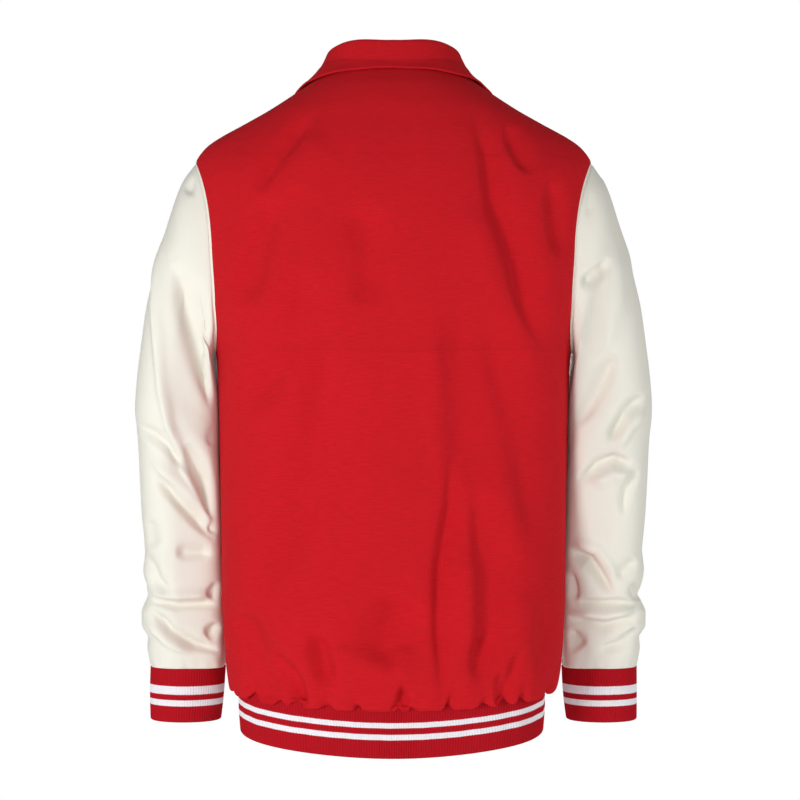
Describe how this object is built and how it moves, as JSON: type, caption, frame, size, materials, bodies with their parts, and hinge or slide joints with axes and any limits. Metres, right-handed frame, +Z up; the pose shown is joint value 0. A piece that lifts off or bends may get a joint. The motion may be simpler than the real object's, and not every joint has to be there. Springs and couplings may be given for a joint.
{
  "type": "varsity jacket",
  "caption": "Red varsity jacket with ivory sleeves, a fold-over collar, press studs and striped rib-knit cuffs and hem, in the form of an unseen wearer.",
  "frame": {"origin": "centre of the neck opening, level with the neck seam at the centre back, where the wearer holds the jacket", "axes": "+Z up along the back, -Y towards the garment's front, +X towards the wearer's left"},
  "size_m": [0.544, 0.2681, 0.7325],
  "materials": {
    "body_cloth": "matte",
    "sleeve_cloth": "matte",
    "rib_knit": "matte",
    "stud": "satin"
  },
  "bodies": {
    "root": {"back_panel": "body_cloth", "front_left": "body_cloth", "front_right": "body_cloth", "collar": "body_cloth", "sleeve_left": "sleeve_cloth", "sleeve_right": "sleeve_cloth", "cuff_left": "rib_knit", "cuff_right": "rib_knit", "hem_rib": "rib_knit", "stud_1": "stud", "stud_2": "stud", "stud_3": "stud", "stud_4": "stud", "stud_5": "stud", "stud_6": "stud", "stud_7": "stud"}
  },
  "joints": []
}
